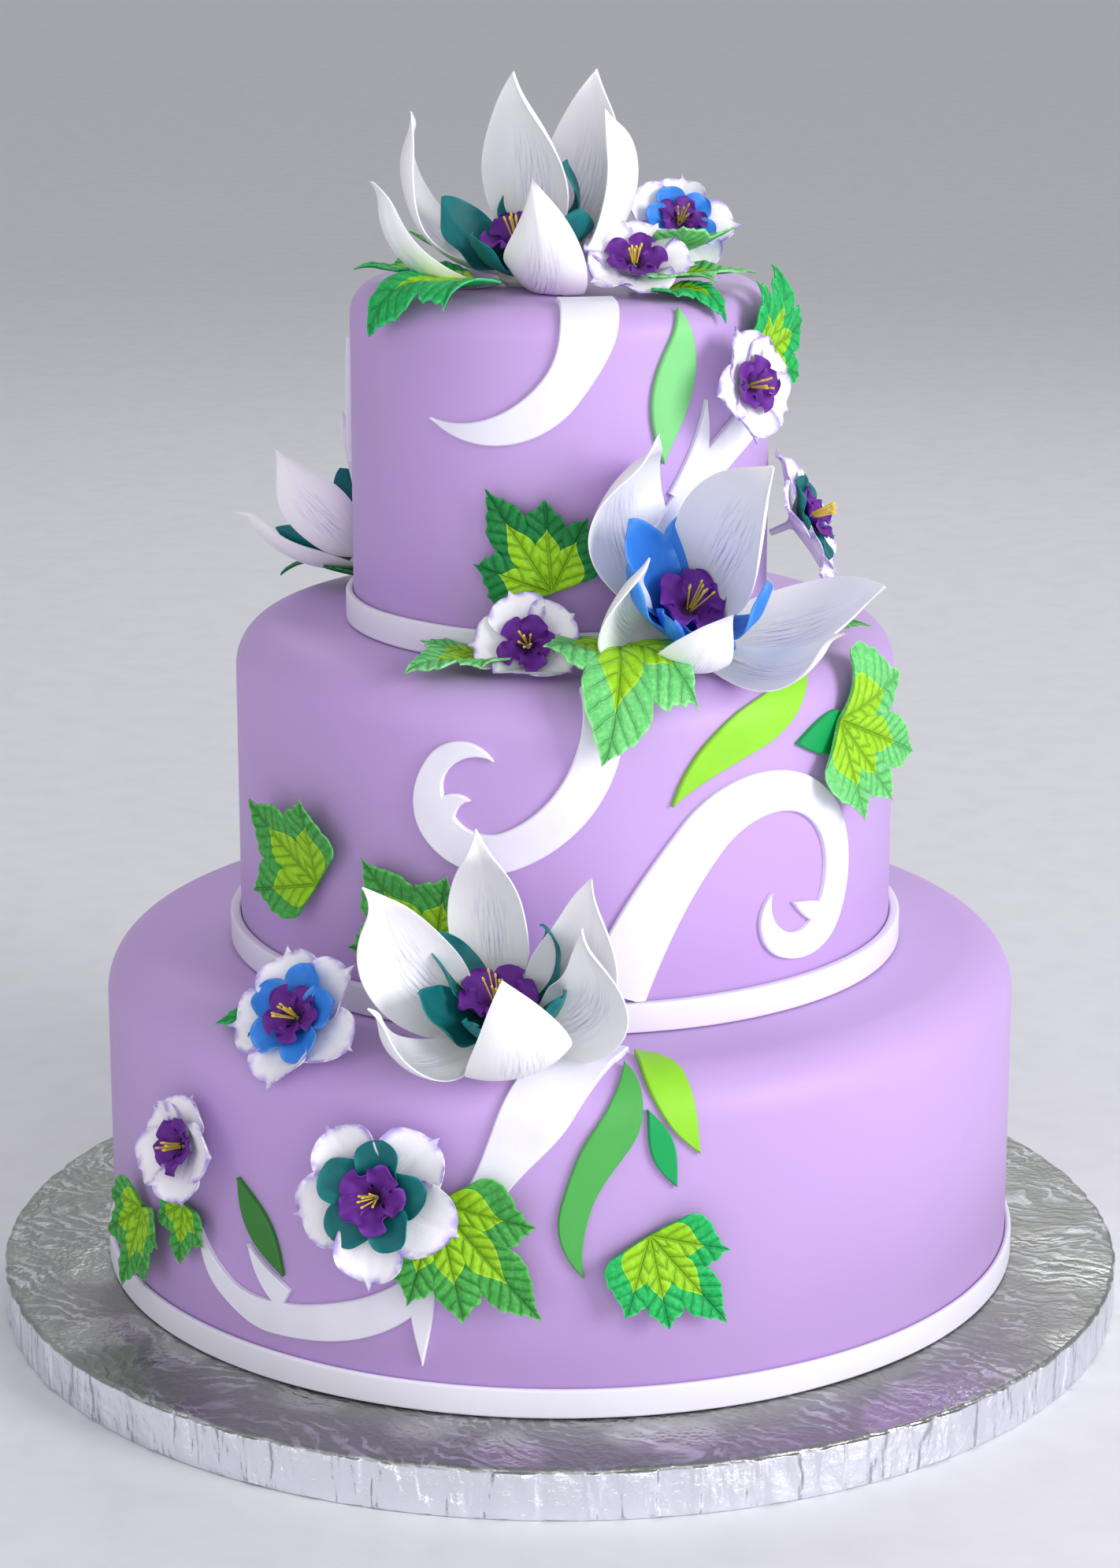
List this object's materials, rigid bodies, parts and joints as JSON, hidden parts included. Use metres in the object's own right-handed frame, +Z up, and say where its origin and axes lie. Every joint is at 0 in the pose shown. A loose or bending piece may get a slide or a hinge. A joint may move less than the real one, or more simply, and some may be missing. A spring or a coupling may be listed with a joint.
{
  "type": "tiered wedding cake",
  "caption": "Round tiered wedding cake on a foil-covered drum, iced in lilac, with white paste scrolls, flat leaves, ivy and sugar flowers.",
  "frame": {"origin": "middle of the underside of the cake drum", "axes": "+Z up through the tiers, -Y towards the front of the cake, +X to its right as seen from the front"},
  "size_m": [0.46, 0.46, 0.4999],
  "materials": {
    "blossom_white": "matte sugar paste, lilac at the tips",
    "drum_foil": "embossed silver foil",
    "fondant_lilac": "smooth matte sugar paste",
    "fondant_white": "smooth matte sugar paste",
    "ivy_green": "matte dusted sugar paste with pressed veins",
    "leaf_dark_green": "smooth matte sugar paste",
    "leaf_emerald": "smooth matte sugar paste",
    "leaf_green": "smooth matte sugar paste",
    "leaf_lime": "smooth matte sugar paste",
    "leaf_soft_green": "smooth matte sugar paste",
    "paste_white": "smooth matte sugar paste",
    "petal_blue": "matte dusted sugar paste",
    "petal_purple": "matte dusted sugar paste",
    "petal_teal": "matte dusted sugar paste",
    "petal_white": "matte sugar paste with faint lilac streaks"
  },
  "bodies": {
    "root": {"cake_drum": "drum_foil", "tier_bottom": "fondant_lilac", "border_bottom": "fondant_white", "tier_middle": "fondant_lilac", "border_middle": "fondant_white", "tier_top": "fondant_lilac", "border_top": "fondant_white", "scroll_top_hook": "paste_white", "scroll_top_fork": "paste_white", "scroll_top_left": "paste_white", "scroll_middle_curl": "paste_white", "scroll_middle_arch": "paste_white", "scroll_bottom_sweep": "paste_white", "flat_leaf_top": "leaf_soft_green", "flat_leaf_middle_lime": "leaf_lime", "flat_leaf_middle_emerald": "leaf_emerald", "flat_leaf_bottom_long": "leaf_green", "flat_leaf_bottom_lime": "leaf_lime", "flat_leaf_bottom_emerald": "leaf_emerald", "flat_leaf_bottom_left": "leaf_dark_green", "ivy_top_front_left": "ivy_green", "ivy_top_far_left": "ivy_green", "ivy_top_behind_flower": "ivy_green", "ivy_top_back": "ivy_green", "ivy_top_right": "ivy_green", "ivy_top_front_right": "ivy_green", "ivy_top_side": "ivy_green", "ivy_ledge_upright": "ivy_green", "ivy_ledge_left": "ivy_green", "ivy_ledge_front": "ivy_green", "ivy_ledge_right": "ivy_green", "ivy_ledge_back_left": "ivy_green", "ivy_middle_right": "ivy_green", "ivy_middle_left": "ivy_green", "ivy_middle_behind_flower": "ivy_green", "ivy_bottom_ledge": "ivy_green", "ivy_bottom_large": "ivy_green", "ivy_bottom_right": "ivy_green", "ivy_bottom_far_left": "ivy_green", "ivy_bottom_below_flower": "ivy_green", "flower_crown_petals": "petal_white", "flower_crown_inner": "petal_teal", "flower_crown_centre": "petal_purple", "flower_middle_petals": "petal_white", "flower_middle_inner": "petal_blue", "flower_middle_centre": "petal_purple", "flower_lower_petals": "petal_white", "flower_lower_inner": "petal_teal", "flower_lower_centre": "petal_purple", "flower_back_left_petals": "petal_white", "flower_back_left_inner": "petal_teal", "flower_back_left_centre": "petal_purple", "blossom_top_blue": "blossom_white", "blossom_top_plain": "blossom_white", "blossom_top_side": "blossom_white", "blossom_top_right": "blossom_white", "blossom_ledge": "blossom_white", "blossom_bottom_ledge": "blossom_white", "blossom_bottom_left": "blossom_white", "blossom_bottom_front": "blossom_white"}
  },
  "joints": []
}
